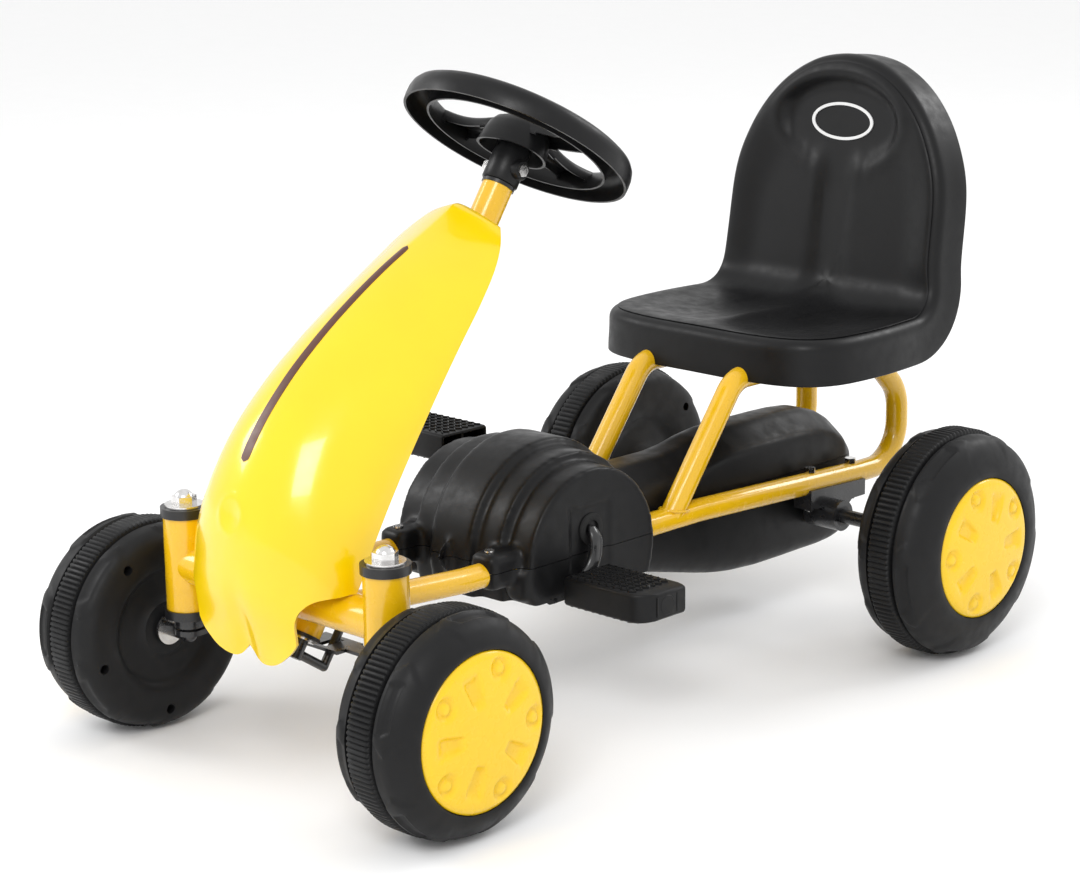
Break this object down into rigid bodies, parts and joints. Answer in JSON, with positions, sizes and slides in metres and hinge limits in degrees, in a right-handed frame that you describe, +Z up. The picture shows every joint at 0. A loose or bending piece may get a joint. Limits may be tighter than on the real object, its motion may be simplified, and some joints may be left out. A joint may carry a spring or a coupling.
{
  "type": "pedal go kart",
  "caption": "Toddler pedal go kart: bent steel tube frame, moulded bucket seat, raked steering column behind a tall fairing, enclosed chain drive and moulded wheels with domed covers.",
  "frame": {"origin": "on the ground under the middle of the kart's bounding box", "axes": "+Z up; -Y is the way the kart drives, so +Y runs from the front axle to the seat back; +X is the kart's left"},
  "size_m": [0.5132, 0.872, 0.5745],
  "materials": {
    "frame_paint": "gloss powder coat",
    "fairing_yellow": "gloss",
    "cap_yellow": "satin gloss",
    "case_black": "fine grain",
    "seat_black": "fine grain",
    "tyre_black": "moulded plastic, ribbed band",
    "wheel_black": "fine grain",
    "pedal_black": "fine grain",
    "bush_nylon": "smooth nylon",
    "black_steel": "satin black paint",
    "chain_steel": "oiled steel",
    "zinc_steel": "bright zinc plate"
  },
  "bodies": {
    "frame": {"left_side_tube": "frame_paint", "right_side_tube": "frame_paint", "left_seat_loop": "frame_paint", "right_seat_loop": "frame_paint", "front_crossbar": "frame_paint", "left_kingpin_tube": "frame_paint", "right_kingpin_tube": "frame_paint", "head_tube": "frame_paint", "column_gusset": "frame_paint", "column_bushes": "bush_nylon", "kingpin_bushes": "bush_nylon", "fairing": "fairing_yellow", "fairing_stays": "black_steel", "fairing_screws": "zinc_steel", "case_upper": "case_black", "case_lower": "case_black", "case_screws": "zinc_steel", "left_axle_bracket": "black_steel", "right_axle_bracket": "black_steel", "bracket_bolts": "zinc_steel", "rear_axle_bushes": "bush_nylon", "crank_hangers": "frame_paint", "crank_bushes": "bush_nylon", "seat": "seat_black", "seat_bolts": "zinc_steel", "chain": "chain_steel"},
    "steering": {"steering_shaft": "black_steel", "steering_wheel": "wheel_black", "steering_bolt": "zinc_steel", "column_washer": "zinc_steel"},
    "tie_rod": {"tie_rod": "black_steel"},
    "left_knuckle": {"left_stub_axle": "black_steel", "left_kingpin_nut": "zinc_steel", "left_tie_pin": "zinc_steel", "left_axle_nut": "zinc_steel"},
    "right_knuckle": {"right_stub_axle": "black_steel", "right_kingpin_nut": "zinc_steel", "right_tie_pin": "zinc_steel", "right_axle_nut": "zinc_steel"},
    "left_front_wheel": {"left_front_tyre": "tyre_black", "left_front_cap": "cap_yellow", "left_front_bushes": "bush_nylon"},
    "right_front_wheel": {"right_front_tyre": "tyre_black", "right_front_cap": "cap_yellow", "right_front_bushes": "bush_nylon"},
    "rear_wheels": {"rear_axle": "black_steel", "rear_sprocket": "chain_steel", "left_rear_tyre": "tyre_black", "right_rear_tyre": "tyre_black", "left_rear_cap": "cap_yellow", "right_rear_cap": "cap_yellow", "rear_axle_nuts": "zinc_steel"},
    "crank": {"crank_axle": "black_steel", "front_sprocket": "chain_steel"},
    "left_pedal_body": {"left_pedal": "pedal_black", "left_pedal_pin": "zinc_steel"},
    "right_pedal_body": {"right_pedal": "pedal_black", "right_pedal_pin": "zinc_steel"}
  },
  "joints": [
    {"name": "steering_turn", "type": "hinge", "parent": "frame", "child": "steering", "pos_m": [0, -0.084, 0.469], "axis": [0, 0.5592, 0.829], "range_deg": [-45, 45]},
    {"name": "left_kingpin_turn", "type": "hinge", "parent": "frame", "child": "left_knuckle", "pos_m": [0.128, -0.342, 0.094], "axis": [0, 0, 1], "range_deg": [-30, 30]},
    {"name": "right_kingpin_turn", "type": "hinge", "parent": "frame", "child": "right_knuckle", "pos_m": [-0.128, -0.342, 0.094], "axis": [0, 0, 1], "range_deg": [-30, 30]},
    {"name": "tie_rod_pivot", "type": "hinge", "parent": "left_knuckle", "child": "tie_rod", "pos_m": [0.128, -0.288, 0.1025], "axis": [0, 0, 1], "range_deg": [-30, 30]},
    {"name": "left_front_wheel_spin", "type": "hinge", "parent": "left_knuckle", "child": "left_front_wheel", "pos_m": [0.197, -0.342, 0.094], "axis": [1, 0, 0], "continuous": true},
    {"name": "right_front_wheel_spin", "type": "hinge", "parent": "right_knuckle", "child": "right_front_wheel", "pos_m": [-0.197, -0.342, 0.094], "axis": [1, 0, 0], "continuous": true},
    {"name": "rear_axle_spin", "type": "hinge", "parent": "frame", "child": "rear_wheels", "pos_m": [0, 0.298, 0.108], "axis": [1, 0, 0], "continuous": true},
    {"name": "crank_spin", "type": "hinge", "parent": "frame", "child": "crank", "pos_m": [0, -0.057, 0.17], "axis": [1, 0, 0], "continuous": true},
    {"name": "left_pedal_spin", "type": "hinge", "parent": "crank", "child": "left_pedal_body", "pos_m": [0.1425, -0.07652, 0.12615], "axis": [1, 0, 0], "continuous": true},
    {"name": "right_pedal_spin", "type": "hinge", "parent": "crank", "child": "right_pedal_body", "pos_m": [-0.1425, -0.03748, 0.21385], "axis": [1, 0, 0], "continuous": true}
  ],
  "couplings": [
    {"joint": "left_kingpin_turn", "follows": "steering_turn", "ratio": 0.64},
    {"joint": "right_kingpin_turn", "follows": "steering_turn", "ratio": 0.64},
    {"joint": "tie_rod_pivot", "follows": "steering_turn", "ratio": -0.64},
    {"joint": "crank_spin", "follows": "rear_axle_spin", "ratio": 0.77778}
  ]
}
